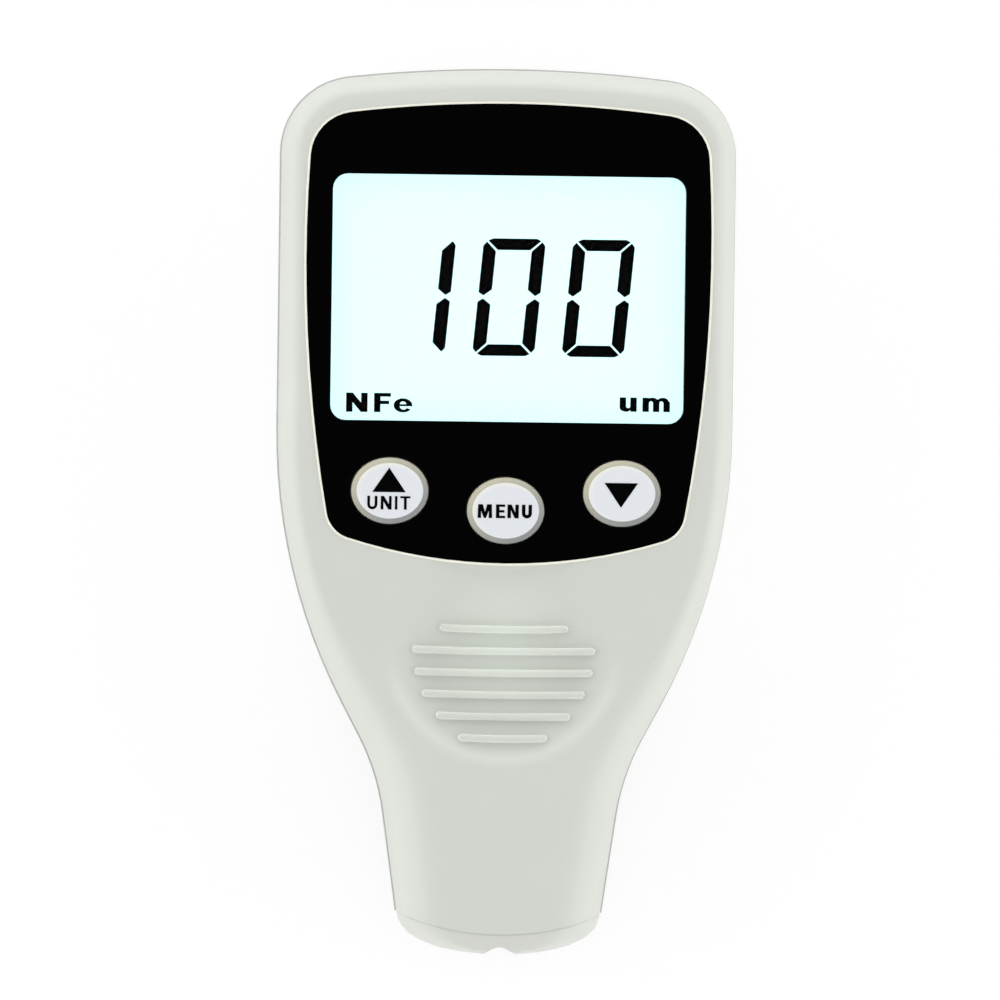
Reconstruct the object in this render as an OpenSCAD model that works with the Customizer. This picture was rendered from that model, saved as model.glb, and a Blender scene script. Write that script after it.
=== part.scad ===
// Handheld coating thickness gauge with a display, three keys and a sprung probe.
// It lies on its back: +Z out of the face, +Y towards the display end, millimetres.

/* [Body] */
// Overall length, display end to probe end
body_l = 105.4; // [103:0.2:112]
// Width of the head
head_w = 54.2; // [53.6:0.2:58]
// Thickness of the head, back to face
body_t = 27; // [27:0.2:30]
// Crown radius of the display end
crown_r = 165; // [110:5:300]
// Corner radius of the head
corner_r = 9; // [7:0.5:10]
// Distance from the display end to the shoulder corner
shoulder_s = 60.5; // [59.5:0.5:62]
// Fillet radius of the shoulder
shoulder_r = 70; // [40:1:75]
// Distance from the display end to the throat corner
throat_s = 84; // [83.6:0.2:88]
// Width at the throat corner
throat_w = 29.1; // [28.7:0.1:31]
// Fillet radius of the throat
throat_r = 28; // [12:1:34]
// Taper of each side of the neck, degrees
neck_taper = 8.1; // [5:0.1:8.5]
// Width of the rounded edge round the head
head_edge = 3.8; // [3.2:0.1:4.2]
// Width of the rounded edge along the neck
neck_edge = 9.5; // [7:0.1:9.8]
// Fullness of the rounded edges, 2 for an ellipse and more for a boxier section
section_power = 3.5; // [2:0.1:4]
// Fall of the face from head to neck
front_drop = 2.3; // [1:0.1:2.6]
// Rise of the back from head to neck
back_rise = 2.8; // [2.4:0.1:3.2]
// Side and back wall of the shells
wall = 2; // [1.6:0.1:2.2]
// Chamfer that marks the seam of the two shells
seam_chamfer = 0.25; // [0.1:0.05:0.4]

/* [Face panel] */
// Margin from the side of the head to the panel at its widest
panel_side = 3; // [2.9:0.1:4]
// Length of the face panel
panel_l = 54.7; // [54:0.1:55.4]
// Margin from the display end to the panel
panel_margin = 4.1; // [3.9:0.1:4.6]
// Distance from the display end to the widest place of the panel
panel_wide_s = 21.7; // [18:0.1:26]
// Arc radius of the panel's upper edge
panel_top_r = 147; // [100:1:200]
// Arc radius of the panel's side edges
panel_side_r = 176; // [150:1:220]
// Arc radius of the panel's lower edge
panel_low_r = 63; // [50:1:90]
// Upper corner radius of the panel
panel_corner_top = 5.5; // [4:0.1:6]
// Lower corner radius of the panel
panel_corner_low = 3.7; // [3:0.1:5]
// Thickness of the panel
panel_t = 0.7; // [0.5:0.1:0.8]
// Depth of the panel's recess
recess_d = 1.25; // [1.1:0.05:1.4]
// Floor left under the recess
floor_t = 1; // [0.8:0.1:1.3]

/* [Display] */
// Border of the panel on each side of the window
window_side = 3.1; // [3:0.1:4]
// Border of the panel above the window
window_above = 8.55; // [8.4:0.05:9.5]
// Height of the key field below the window
key_field = 16.85; // [16.8:0.05:18]
// Corner radius of the display window
window_r = 1.8; // [1:0.1:3]
// Overlap of the clear lens behind the panel
lens_lap = 1.2; // [0.9:0.1:1.4]
// Thickness of the ledge that carries the lens
ledge_t = 0.7; // [0.5:0.1:1]
// Thickness of the display glass
glass_t = 2; // [1.6:0.1:2.2]
// Thickness of the backlight
backlight_t = 3.2; // [2.8:0.1:3.4]
// Length of the contact ledge of the display glass
glass_ledge = 2; // [1.8:0.1:2.2]
// Wall of the display frame
frame_wall = 0.7; // [0.5:0.1:0.8]
// Width of the rubber connector strip
strip_w = 1.2; // [0.9:0.1:1.3]

/* [Keys] */
// Width of a key
key_w = 9.2; // [8:0.1:9.6]
// Height of a key
key_h = 7.9; // [7:0.1:8.2]
// Distance of the outer keys from the panel's side
key_side = 10.3; // [9.9:0.1:11]
// Height of the outer keys above the panel's lower edge
key_rise = 8.5; // [8.2:0.1:8.8]
// Distance that the middle key sits lower
key_sag = 2.2; // [0.5:0.1:2.6]
// Height of a key above the panel
key_proud = 0.9; // [0.6:0.1:1.3]
// Width of the bevel round a key's face
key_bevel = 0.65; // [0.3:0.05:1]
// Flange that keeps a key in
key_flange = 0.9; // [0.6:0.1:1]
// Thickness of that flange
key_flange_t = 0.8; // [0.6:0.1:1]
// Stroke of a key
key_stroke = 0.5; // [0.25:0.05:0.6]
// Clearance round a key
key_gap = 0.15; // [0.1:0.05:0.25]

/* [Thumb dish] */
// Radius of the dish at the surface
dish_r = 13.7; // [11:0.1:14]
// Depth of the dish
dish_d = 0.9; // [0.5:0.1:1.2]
// Distance from the display end to the middle of the dish
dish_s = 68.4; // [67:0.1:69]
// Distance from the display end to the first rib
rib_s = 66.5; // [66:0.1:68]
// Pitch of the ribs
rib_pitch = 2.6; // [2:0.1:2.7]
// Half lengths of the ribs, first to last
rib_half = [7.65, 10.9, 10.6, 9.7, 8, 5.3];
// Width of a rib
rib_w = 0.9; // [0.7:0.1:1.4]
// Height of a rib above the dish
rib_h = 0.5; // [0.3:0.1:0.8]
// Sag of a rib in its middle
rib_sag = 0.15; // [0:0.05:0.5]

/* [Nose and probe] */
// Height of the nose beyond its seam
nose_h = 2.4; // [2:0.1:3]
// Depth over which the nose rounds off
nose_round = 4.8; // [4:0.1:6]
// Fullness of the rounding of the nose
nose_power = 2.5; // [2:0.1:3]
// Share of the height that the end of the nose rounds off
nose_lip = 0.1; // [0.05:0.01:0.2]
// Arc radius of the seam above the nose
seam_r = 32; // [26:1:45]
// Gap that shows as the nose's seam
seam_gap = 0.1; // [0.1:0.05:0.3]
// Width of the positioning notch
notch_w = 3.2; // [2.4:0.1:4]
// Depth of the positioning notch
notch_d = 0.9; // [0.5:0.1:1.3]
// Outer radius of the probe tube
tube_r = 6; // [5.6:0.1:6.4]
// Outer radius of the probe sleeve
sleeve_r = 4.5; // [4.4:0.1:4.8]
// Radius of the sleeve's nose
sleeve_nose_r = 2; // [1.8:0.1:2.4]
// Wall of the probe sleeve
sleeve_wall = 0.65; // [0.5:0.05:0.7]
// Length of the probe sleeve
sleeve_l = 12.4; // [12:0.1:13]
// Radius of the contact tip
tip_r = 1.1; // [0.8:0.1:1.3]
// Radius of the core
core_r = 2; // [1.7:0.1:2.2]
// Stroke of the probe
probe_stroke = 2; // [1:0.1:2.5]
// Length of the probe spring
spring_l = 9; // [8:0.1:11]
// Wire radius of the probe spring
spring_wire = 0.3; // [0.2:0.05:0.4]
// Clearance of the sliding fit
slide_fit = 0.08; // [0.04:0.01:0.1]

/* [Battery] */
// Diameter of a cell
cell_d = 10.5; // [10.3:0.1:10.7]
// Length of a cell over its nub
cell_l = 44.5; // [44:0.1:44.7]
// Room for the contact spring at a cell's end
spring_room = 5.7; // [5:0.1:6]
// Thickness of the contact plates
plate_t = 0.4; // [0.3:0.05:0.5]
// Wall of the battery bay
bay_wall = 1.2; // [1:0.1:1.4]
// Thickness of the battery door
door_t = 1.5; // [1.4:0.1:1.7]
// Setback of the door from the back
door_set = 0.15; // [0.1:0.05:0.25]
// Clearance round the door
door_gap = 0.15; // [0.1:0.05:0.25]
// Width of the door's guide tongues
tongue_w = 0.8; // [0.6:0.1:0.9]

/* [Board and screws] */
// Margin from the side of the head to the circuit board
board_side = 4.3; // [4.1:0.1:4.4]
// Thickness of the circuit board
board_t = 1.6; // [1.2:0.1:1.6]
// Shank diameter of the housing screws
screw_d = 2.4; // [2:0.1:2.6]
// Head diameter of the housing screws
screw_head_d = 4.4; // [4:0.1:4.6]
// Outer diameter of the screw bosses
boss_d = 5.4; // [5.2:0.1:5.6]
// Shank diameter of the board screws
pin_d = 1.6; // [1.4:0.1:1.8]

/* [Hidden] */
$fn = 48;
part_clear = 0.1;
cut = 1;
lap = 0.4;
y_top = body_l / 2;
y_end = -body_l / 2;

// heights of the stack, back to face
cell_gap = 0.25;
door_top = door_set + door_t;
seat_z = door_top + door_gap;
cell_z = door_top + cell_gap + cell_d / 2;
bay_top = cell_z + cell_d / 2 + cell_gap;
part_z = bay_top + bay_wall;
recess_z = body_t - recess_d;
floor_z = recess_z - floor_t;
front_wall = recess_d + floor_t;
panel_top = recess_z + panel_t;
glass_top = floor_z - ledge_t;
light_top = glass_top - glass_t;
board_top = light_top - backlight_t;
board_low = board_top - board_t;

// outline of the body
edge_before = 3.5;
edge_s = shoulder_s - edge_before;
edge_l = 35;
drop_s = dish_s + dish_r;
drop_l = 22;
rise_before = 2;
rise_s = shoulder_s - rise_before;
rise_l = 26;
run_out = 1.5;
corner_x = head_w / 2 - corner_r;
crown_y = y_top - crown_r;
corner_y = crown_y + sqrt(pow(crown_r - corner_r, 2) - pow(corner_x, 2));
corner_a = atan2(corner_y - crown_y, corner_x);
flank_a = atan2((head_w - throat_w) / 2, throat_s - shoulder_s);
crown_n = 7;
corner_n = 10;
shoulder_n = 12;
throat_n = 7;
neck_n = 3;
edge_tilts = [15, 30, 45, 60, 70, 80, 90];
hollow_tilts = [0, 15, 30, 45, 60, 75, 90];

// panel, keys, ribs and dish
panel_w = head_w - 2 * panel_side;
key_pitch = panel_w / 2 - key_side;
key_s = panel_margin + panel_l - key_rise;
key_xy = [[-key_pitch, ys(key_s)], [0, ys(key_s + key_sag)], [key_pitch, ys(key_s)]];
key_n = 40;
key_top = panel_top + key_proud;
key_flange_top = floor_z - key_gap;
key_low = key_flange_top - key_flange_t;
key_bevel_h = 0.4;
key_round = 0.12;
dish_sphere_r = (dish_r * dish_r + dish_d * dish_d) / (2 * dish_d);
dish_y = ys(dish_s);
dish_z = front_z(dish_y) - dish_d + dish_sphere_r;
rib_sink = 0.5;
rib_bays = 8;
rib_ends = [0.03, 0.12, 0.3, 0.6, 1];
rib_section = [[0, 1], [0.5, 0.96], [0.85, 0.74], [1, 0.3]];

// display
window_w = panel_w - 2 * window_side;
window_h = panel_l - window_above - key_field;
window_s = panel_margin + window_above + window_h / 2;
lens_w = window_w + 2 * lens_lap;
lens_h = window_h + 2 * lens_lap;
lens_t = floor_t;
ledge_lap = 1.2;
window_y = ys(window_s);
glass_margin = 0.8;
glass_w = window_w + 2 * glass_margin;
glass_y1 = window_y + window_h / 2 + glass_margin;
glass_y0 = window_y - window_h / 2 - glass_ledge;
strip_inset = 0.15;
strip_l = glass_w - 2 * glass_margin;
light_gap = 0.25;
light_y0 = glass_y0 + strip_inset + strip_w + light_gap;
light_y1 = glass_y1 - light_gap;
frame_top = light_top + glass_t / 2;

// board and switches
board_w = head_w - 2 * board_side;
board_margin = 6.2;
board_below = 7.1;
board_y1 = ys(board_margin);
board_y0 = ys(key_s + board_below);
board_r = 2.5;
boss_room = 0.5;
post_d = 3.6;
post_in_high = 7.6;
post_in_low = 3.2;
post_drop = 2.3;
post_lift = 1.7;
post_xy = [[board_w / 2 - post_in_high, board_y1 - post_drop],
           [board_w / 2 - post_in_low, board_y0 + post_lift]];
switch_w = 6;
switch_h = 3.5;
plunger_r = 1.75;
plunger_depth = 1.3;
pin_l = 5;
pin_head_d = 3;
pin_head_t = 1.1;
chip_w = 10;
chip_t = 1.4;
chip_below = 8.7;
chip_y = window_y - chip_below;
lead_n = 11;
lead_pitch = 0.8;
lead_w = 0.4;
lead_l = 1;
lead_t = 0.2;
crystal_w = 4.6;
crystal_l = 11;
crystal_t = 3;
crystal_end = 0.1;
crystal_off = 7;
crystal_x = chip_w / 2 + crystal_off;
buzzer_r = 4.5;
buzzer_t = 3;
buzzer_in = 5.2;
buzzer_below = 0.7;
buzzer_xy = [buzzer_in - board_w / 2, window_y - buzzer_below];

// screws
screw_in_high = 6.3;
screw_in_low = 10.6;
screw_margin = 7.5;
screw_below = 5.5;
screw_low_y = ys(shoulder_s + screw_below);
screw_xy = [[head_w / 2 - screw_in_high, ys(screw_margin)], [head_w / 2 - screw_in_low, screw_low_y]];
screw_depth = 6;
screw_seat = part_z - screw_depth;
screw_head_t = 1.8;
screw_grip = 6;
screw_gap = 0.05;
slot_w = 0.6;
slot_d = 0.8;

// battery bay and door
cell_part = 0.4;
cell_x = cell_d / 2 + cell_part;
nub_r = 1.9;
nub_l = 0.8;
bay_side = 0.3;
bay_half = cell_x + cell_d / 2 + bay_side;
bay_margin = 8.4;
bay_y1 = ys(bay_margin);
bay_l = cell_l + spring_room + 2 * plate_t;
bay_y0 = bay_y1 - bay_l;
plate_w = 9.6;
plate_over = 0.9;
plate_under = 0.6;
plate_z0 = seat_z + plate_over;
plate_z1 = bay_top - plate_under;
coil_r0 = 3.6;
coil_r1 = 2.3;
coil_turns = 4;
coil_wire = 0.35;
door_lap = 1;
door_half = bay_half + door_lap;
door_y1 = bay_y1 + door_lap;
door_end_z = 0.9;
door_y0 = ys(rise_s + rise_l * ease_at(door_end_z / back_rise));
tongue_t = 0.7;
tongue_z = door_top - tongue_t;
tongue_in_high = 5;
tongue_in_low = 2;
tongue_y1 = door_y1 - tongue_in_high;
tongue_y0 = bay_y0 + tongue_in_low;
pad_t = 1.3;
pad_side = 1;
pad_before = 6;
pad_after = 2;
grip_n = 5;
grip_pitch = 1.8;
grip_w = 0.8;
grip_d = 0.45;
grip_l = 14;
grip_in = 4;
grip_y = bay_y0 + grip_in;

// nose and probe, distances from the probe end
seam_y = y_end + nose_h;
plug_l = 3;
plug_gap = 0.2;
plug_in = front_wall + plug_gap;
tip_back = 0.1;
tip_d0 = notch_d + tip_back;
tip_l = 6;
lip_d = 3;
bore_r = sleeve_r + slide_fit;
sleeve_d0 = lip_d + part_clear;
sleeve_d1 = sleeve_d0 + sleeve_l;
sleeve_front = 0.8;
sleeve_bore = sleeve_r - sleeve_wall;
coil_d0 = sleeve_d0 + sleeve_front + part_clear;
bobbin_flange = 0.6;
bobbin_l = 9;
bobbin_r = sleeve_bore - part_clear;
hub_wall = 0.5;
hub_r = core_r + hub_wall;
core_over = 0.4;
core_l = bobbin_l + core_over;
coil_fill = 0.15;
plug_d0 = coil_d0 + core_l + part_clear;
plug_flange = 1;
plug_pin_r = 1.5;
plug_pin_l = 2.5;
spring_d0 = sleeve_d1 + plug_flange;
spring_d1 = spring_d0 + spring_l;
spring_side = 0.4;
spring_r = sleeve_r - 2 * spring_wire - spring_side;
spring_turns = 5.5;
spring_gap = 0.05;
cap_spigot = 1.5;
tube_d1 = spring_d1 + cap_spigot;
cap_t = 1.5;
cap_hole_r = 1;
bulk_d0 = 10.5;
bulk_t = 2;
tube_flange = 1.2;
tube_flange_t = 1.4;

shell_grey = [0.8, 0.82, 0.79];
steel = [0.75, 0.75, 0.76];
copper = [0.75, 0.42, 0.22];

// helpers
function ys(s) = y_top - s;
function ease(t) = t <= 0 ? 0 : t >= 1 ? 1 : t * t * (3 - 2 * t);
function ease_at(v) = 0.5 - sin(asin(1 - 2 * v) / 3);
function edge_w(y) = head_edge + (neck_edge - head_edge) * ease((ys(edge_s) - y) / edge_l);
function front_z(y) = body_t - front_drop * ease((ys(drop_s) - y) / drop_l);
function back_z(y) = back_rise * ease((ys(rise_s) - y) / rise_l);
function neck_half(y) = throat_w / 2 - tan(neck_taper) * (ys(throat_s) - y);
function out_dir(a) = [cos(a), -sin(a)];
function spot(p, n) = [p[0], p[1], n[0], n[1]];
function round_dir(c, r, a) = spot(c + r * [cos(a), sin(a)], [cos(a), sin(a)]);
function fillet(p, a, b, r, n) =
    let (side = sign(b - a), start = p + r * tan(abs(b - a) / 2) * [sin(a), cos(a)])
    [for (i = [0:n]) let (g = a + (b - a) * i / n)
        spot(start + side * r * (out_dir(g) - out_dir(a)), out_dir(g))];
function arc(c, r, a, b, n) = [for (i = [0:n]) let (g = a + (b - a) * i / n) c + r * [cos(g), sin(g)]];
function bearing(v) = atan2(v[1], v[0]);
function meet(c, r, d, q, side) =
    let (v = d - c, l = norm(v), u = v / l, a = (r * r - q * q + l * l) / (2 * l), h = sqrt(r * r - a * a))
    c + a * u + side * h * [-u[1], u[0]];
function mirrored(half) = concat(half, [for (i = [len(half) - 1:-1:0]) [-half[i][0], half[i][1]]]);

// right half of the body's outline with its outward directions
outline = concat(
    [for (i = [0:crown_n]) round_dir([0, crown_y], crown_r, 90 + (corner_a - 90) * i / crown_n)],
    [for (i = [1:corner_n]) round_dir([corner_x, corner_y], corner_r, corner_a * (1 - i / corner_n))],
    fillet([head_w / 2, ys(shoulder_s)], 0, flank_a, shoulder_r, shoulder_n),
    fillet([throat_w / 2, ys(throat_s)], flank_a, neck_taper, throat_r, throat_n),
    [for (i = [1:neck_n])
        let (y0 = ys(throat_s) - throat_r * tan((flank_a - neck_taper) / 2),
             y = y0 + (y_end - run_out - y0) * i / neck_n)
        spot([neck_half(y), y], [1, 0])]);

// width and height shares of the rounded edge
function edge_x(tilt) = pow(cos(tilt), 2 / section_power);
function edge_h(tilt) = pow(sin(tilt), 2 / section_power);
// ring of the body's form: g is the inset, tilt runs from the seam (0) to the face or back (90)
function ring_point(p, g, tilt, gz, front) =
    let (d = g + (edge_w(p[1]) - g) * (1 - edge_x(tilt)), y = p[1] - p[3] * d,
         h = front ? front_z(y) - gz - part_z : back_z(y) + gz - part_z)
    [p[0] - p[2] * d, y, part_z + h * edge_h(tilt)];
function closed(half) = concat(half, [for (i = [len(half) - 1:-1:1]) [-half[i][0], half[i][1], half[i][2]]]);
function form_ring(g, tilt, gz, front) = closed([for (p = outline) ring_point(p, g, tilt, gz, front)]);
function level_ring(g, z) = closed([for (p = outline) [p[0] - p[2] * g, p[1] - p[3] * g, z]]);

// ring across the neck: g is the inset, q narrows it and r flattens it towards the probe axis
function neck_ring(y, g, q, r = 1) =
    let (e = neck_edge - g, w = neck_half(y) - g, f = front_z(y) - part_z - g, b = part_z - back_z(y) - g,
         half = concat([for (t = [90:-10:0]) [w - e * (1 - edge_x(t)), f * edge_h(t)]],
                       [for (t = [10:10:90]) [w - e * (1 - edge_x(t)), -b * edge_h(t)]]))
    concat([for (p = half) [-q * p[0], y, part_z + r * p[1]]],
           [for (i = [len(half) - 1:-1:0]) [q * half[i][0], y, part_z + r * half[i][1]]]);

function ladder(n, b) = concat(
    [[b, b + 1, b + n - 1]],
    [for (i = [1:1:floor((n - 1) / 2) - 1]) [b + i, b + i + 1, b + n - i - 1, b + n - i]],
    n % 2 == 0 ? [[b + n / 2 - 1, b + n / 2, b + n / 2 + 1]] : []);
function turned(faces) = [for (f = faces) [for (i = [len(f) - 1:-1:0]) f[i]]];

// solid through a row of rings, each clockwise when seen from the last one's side
module skin(rings) {
    n = len(rings[0]);
    m = len(rings);
    sides = [for (k = [0:m - 2], j = [0:n - 1])
        let (i = (j + 1) % n)
        each [[k * n + j, k * n + i, (k + 1) * n + i], [k * n + j, (k + 1) * n + i, (k + 1) * n + j]]];
    polyhedron(points = [for (r = rings) each r],
               faces = concat(sides, turned(ladder(n, 0)), ladder(n, (m - 1) * n)));
}

module plate(outline_points, z0, z1) translate([0, 0, z0]) linear_extrude(z1 - z0) polygon(outline_points);
module box(x0, x1, y0, y1, z0, z1) translate([x0, y0, z0]) cube([x1 - x0, y1 - y0, z1 - z0]);
module both_sides() for (s = [-1, 1]) scale([s, 1, 1]) children();
module post(xy, d, z0, z1) translate([xy[0], xy[1], z0]) cylinder(d = d, h = z1 - z0);
module at_pairs(pairs) for (p = pairs, s = [-1, 1]) translate([s * p[0], p[1], 0]) children();

function rounded(w, h, r, y) = let (a = w / 2 - r, b = h / 2 - r)
    mirrored(concat(arc([a, y + b], r, 90, 0, 6), arc([a, y - b], r, 0, -90, 6)));
function oval(c, a, b) = [for (i = [0:key_n - 1]) let (t = 360 * i / key_n) c + [a * sin(t), b * cos(t)]];
function oval_ring(c, grow, z) = [for (p = oval(c, key_w / 2 + grow, key_h / 2 + grow)) [p[0], p[1], z]];

// outline of the face panel, grown by g
function panel_outline(g) =
    let (top = [0, ys(panel_margin) - panel_top_r], low = [0, ys(panel_margin + panel_l) + panel_low_r],
         side = [panel_w / 2 - panel_side_r, ys(panel_wide_s)],
         a = meet(top, panel_top_r - panel_corner_top, side, panel_side_r - panel_corner_top, -1),
         b = meet(side, panel_side_r - panel_corner_low, low, panel_low_r - panel_corner_low, -1))
    mirrored(concat(
        arc(top, panel_top_r + g, 90 - 0.01, bearing(a - top), 8),
        arc(a, panel_corner_top + g, bearing(a - top), bearing(a - side), 8),
        arc(side, panel_side_r + g, bearing(a - side), bearing(b - side), 10),
        arc(b, panel_corner_low + g, bearing(b - side), bearing(b - low), 8),
        arc(low, panel_low_r + g, bearing(b - low), -90 + 0.01, 8)));

// outer form of the front shell, and its hollow
module front_form() skin(concat(
    [level_ring(seam_chamfer, part_z), level_ring(0, part_z + seam_chamfer)],
    [for (t = edge_tilts) form_ring(0, t, 0, true)]));
module front_hollow() skin(concat(
    [level_ring(wall, part_z - cut)],
    [for (t = hollow_tilts) form_ring(wall, t, front_wall, true)]));
module rear_form() skin(concat(
    [for (i = [len(edge_tilts) - 1:-1:0]) form_ring(0, edge_tilts[i], 0, false)],
    [level_ring(0, part_z - seam_chamfer), level_ring(seam_chamfer, part_z)]));
module rear_hollow() skin(concat(
    [for (i = [len(hollow_tilts) - 1:-1:0]) form_ring(wall, hollow_tilts[i], wall, false)],
    [level_ring(wall, part_z + cut)]));

// everything beyond the nose's seam
module beyond_seam(r) difference() {
    box(-head_w, head_w, y_end - head_w, seam_y + seam_r / 4, -cut, body_t + cut);
    translate([0, seam_y + seam_r, -2 * cut]) cylinder(r = r, h = body_t + 4 * cut, $fn = 96);
}

// wall across the neck that holds the probe tube
module bulkhead(low, high) difference() {
    skin([neck_ring(y_end + bulk_d0, wall - lap, 1), neck_ring(y_end + bulk_d0 + bulk_t, wall - lap, 1)]);
    box(-head_w, head_w, y_end, y_top, low, high);
    on_axis(bulk_d0 - cut) cylinder(r = tube_r + part_clear, h = bulk_t + 2 * cut);
}
module on_axis(d) translate([0, y_end + d, part_z]) rotate([-90, 0, 0]) children();

module dish() translate([0, dish_y, dish_z]) sphere(r = dish_sphere_r, $fn = 160);

function dish_floor(x, y) = dish_z - sqrt(pow(dish_sphere_r, 2) - x * x - pow(y - dish_y, 2));
function rib_ring(x, y, full) =
    let (w = full * rib_w / 2, h = sqrt(full) * rib_h, z = dish_floor(x, y), n = len(rib_section))
    concat([for (s = rib_section) [x, y + w * s[0], z + h * s[1]]],
           [[x, y + w, z - rib_sink], [x, y - w, z - rib_sink]],
           [for (i = [n - 1:-1:1]) [x, y - w * rib_section[i][0], z + h * rib_section[i][1]]]);
module thumb_rib(i) {
    half = rib_half[i];
    flat = half - rib_w / 2;
    y0 = ys(rib_s + i * rib_pitch);
    ends = [for (e = rib_ends) [half - e * rib_w / 2, sqrt(1 - pow(1 - e, 2))]];
    stations = concat([for (e = ends) [-e[0], e[1]]],
                      [for (k = [1:rib_bays - 1]) [flat * (2 * k / rib_bays - 1), 1]],
                      [for (k = [len(ends) - 1:-1:0]) ends[k]]);
    skin([for (s = stations) rib_ring(s[0], y0 - rib_sag * (1 - pow(s[0] / half, 2)), s[1])]);
}

module front_housing() color(shell_grey) difference() {
    union() {
        difference() {
            front_form();
            front_hollow();
            dish();
        }
        for (i = [0:len(rib_half) - 1]) thumb_rib(i);
        bulkhead(-cut, part_z);
        at_pairs(screw_xy) post([0, 0], boss_d, part_z, floor_z + lap);
        at_pairs(post_xy) post([0, 0], post_d, board_top, floor_z + lap);
        plate(rounded(lens_w + 2 * ledge_lap, lens_h + 2 * ledge_lap, window_r, window_y),
              glass_top, floor_z + lap);
    }
    plate(panel_outline(part_clear), recess_z, body_t + cut);
    plate(rounded(lens_w + 2 * part_clear, lens_h + 2 * part_clear, window_r, window_y), floor_z, body_t);
    plate(rounded(window_w, window_h, window_r, window_y), glass_top - cut, body_t);
    for (c = key_xy) plate(oval(c, key_w / 2 + key_gap, key_h / 2 + key_gap), floor_z - cut, body_t);
    at_pairs(screw_xy) post([0, 0], screw_d + 2 * screw_gap, part_z - cut, part_z + screw_grip + cut);
    at_pairs(post_xy) post([0, 0], pin_d + 2 * screw_gap, board_top - cut, board_top + pin_l - board_t + lap);
    beyond_seam(seam_r);
}

// side view of a strip that follows the back, set off by d, up to height z
function back_strip(y0, y1, d, z) = concat(
    [[y1, z], [y0, z]],
    [for (i = [0:16]) let (y = y0 + (y1 - y0) * i / 16) [y, back_z(y) + d]]);
module along_x(points, half) rotate([90, 0, 90]) translate([0, 0, -half])
    linear_extrude(2 * half) polygon(points);

module rear_housing() color(shell_grey) difference() {
    union() {
        difference() {
            rear_form();
            rear_hollow();
        }
        bulkhead(part_z, body_t);
        at_pairs(screw_xy) post([0, 0], boss_d, wall / 2 + back_z(screw_low_y), part_z);
        along_x(back_strip(door_y0 - pad_before, door_y1 + pad_after, lap, seat_z + pad_t),
                door_half + tongue_w + pad_side);
        box(-bay_half - bay_wall, bay_half + bay_wall, bay_y0 - bay_wall, bay_y1 + bay_wall, wall / 2, part_z);
    }
    box(-bay_half, bay_half, bay_y0, bay_y1, -cut, bay_top);
    box(-door_half - door_gap, door_half + door_gap, y_end, door_y1 + door_gap, -cut, seat_z);
    box(-door_half - tongue_w - door_gap, door_half + tongue_w + door_gap, y_end, tongue_y1 + door_gap,
        tongue_z - door_gap, seat_z);
    at_pairs(screw_xy) post([0, 0], screw_d + 4 * screw_gap, -cut, part_z + cut);
    at_pairs(screw_xy) post([0, 0], screw_head_d + 4 * screw_gap, -cut, screw_seat);
    beyond_seam(seam_r);
}

module battery_door() color(shell_grey) difference() {
    union() {
        along_x(back_strip(door_y0, door_y1, door_set, door_top), door_half);
        box(-door_half - tongue_w, door_half + tongue_w, tongue_y0, tongue_y1, tongue_z, door_top);
    }
    for (i = [0:grip_n - 1])
        box(-grip_l / 2, grip_l / 2, grip_y + i * grip_pitch, grip_y + i * grip_pitch + grip_w,
            -cut, door_set + grip_d);
}

module face_panel() color([0.02, 0.02, 0.02]) difference() {
    plate(panel_outline(0), recess_z, panel_top);
    plate(rounded(window_w, window_h, window_r, window_y), recess_z - cut, panel_top + cut);
    for (c = key_xy) plate(oval(c, key_w / 2 + key_gap, key_h / 2 + key_gap), recess_z - cut, panel_top + cut);
}

module display_window() color([0.9, 0.95, 0.95, 0.4])
    plate(rounded(lens_w, lens_h, window_r, window_y), floor_z, floor_z + lens_t);

module display_glass() color([0.85, 0.95, 0.95])
    box(-glass_w / 2, glass_w / 2, glass_y0, glass_y1, light_top, glass_top);

module backlight() color([0.95, 0.95, 0.92])
    box(-strip_l / 2, strip_l / 2, light_y0, light_y1, board_top, light_top);

module display_frame() color([0.2, 0.2, 0.21]) difference() {
    box(-glass_w / 2 - part_clear - frame_wall, glass_w / 2 + part_clear + frame_wall,
        glass_y0 - part_clear - frame_wall, glass_y1 + part_clear + frame_wall, board_top, frame_top);
    box(-glass_w / 2 - part_clear, glass_w / 2 + part_clear, glass_y0 - part_clear, glass_y1 + part_clear,
        board_top - cut, frame_top + cut);
}

module connector_strip() color([0.15, 0.15, 0.16])
    box(-strip_l / 2, strip_l / 2, glass_y0 + strip_inset, glass_y0 + strip_inset + strip_w,
        board_top, light_top);

module circuit_board() color([0.1, 0.35, 0.18]) difference() {
    plate(rounded(board_w, board_y1 - board_y0, board_r, (board_y0 + board_y1) / 2), board_low, board_top);
    at_pairs([screw_xy[0]]) post([0, 0], boss_d + 2 * boss_room, board_low - cut, board_top + cut);
    at_pairs(post_xy) post([0, 0], pin_d + 4 * screw_gap, board_low - cut, board_top + cut);
}

module controller_chip() color([0.1, 0.1, 0.1]) translate([0, chip_y, board_low]) {
    translate([-chip_w / 2, -chip_w / 2, -chip_t]) cube([chip_w, chip_w, chip_t - lead_t]);
    for (q = [0:3], i = [0:lead_n - 1]) rotate([0, 0, 90 * q])
        translate([(i - (lead_n - 1) / 2) * lead_pitch - lead_w / 2, chip_w / 2 - lap, -2 * lead_t])
            cube([lead_w, lead_l + lap, 2 * lead_t]);
}

module crystal() color(steel) translate([crystal_x, chip_y, board_low - crystal_t])
    linear_extrude(crystal_t) polygon(rounded(crystal_w, crystal_l, crystal_w / 2 - crystal_end, 0));

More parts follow.
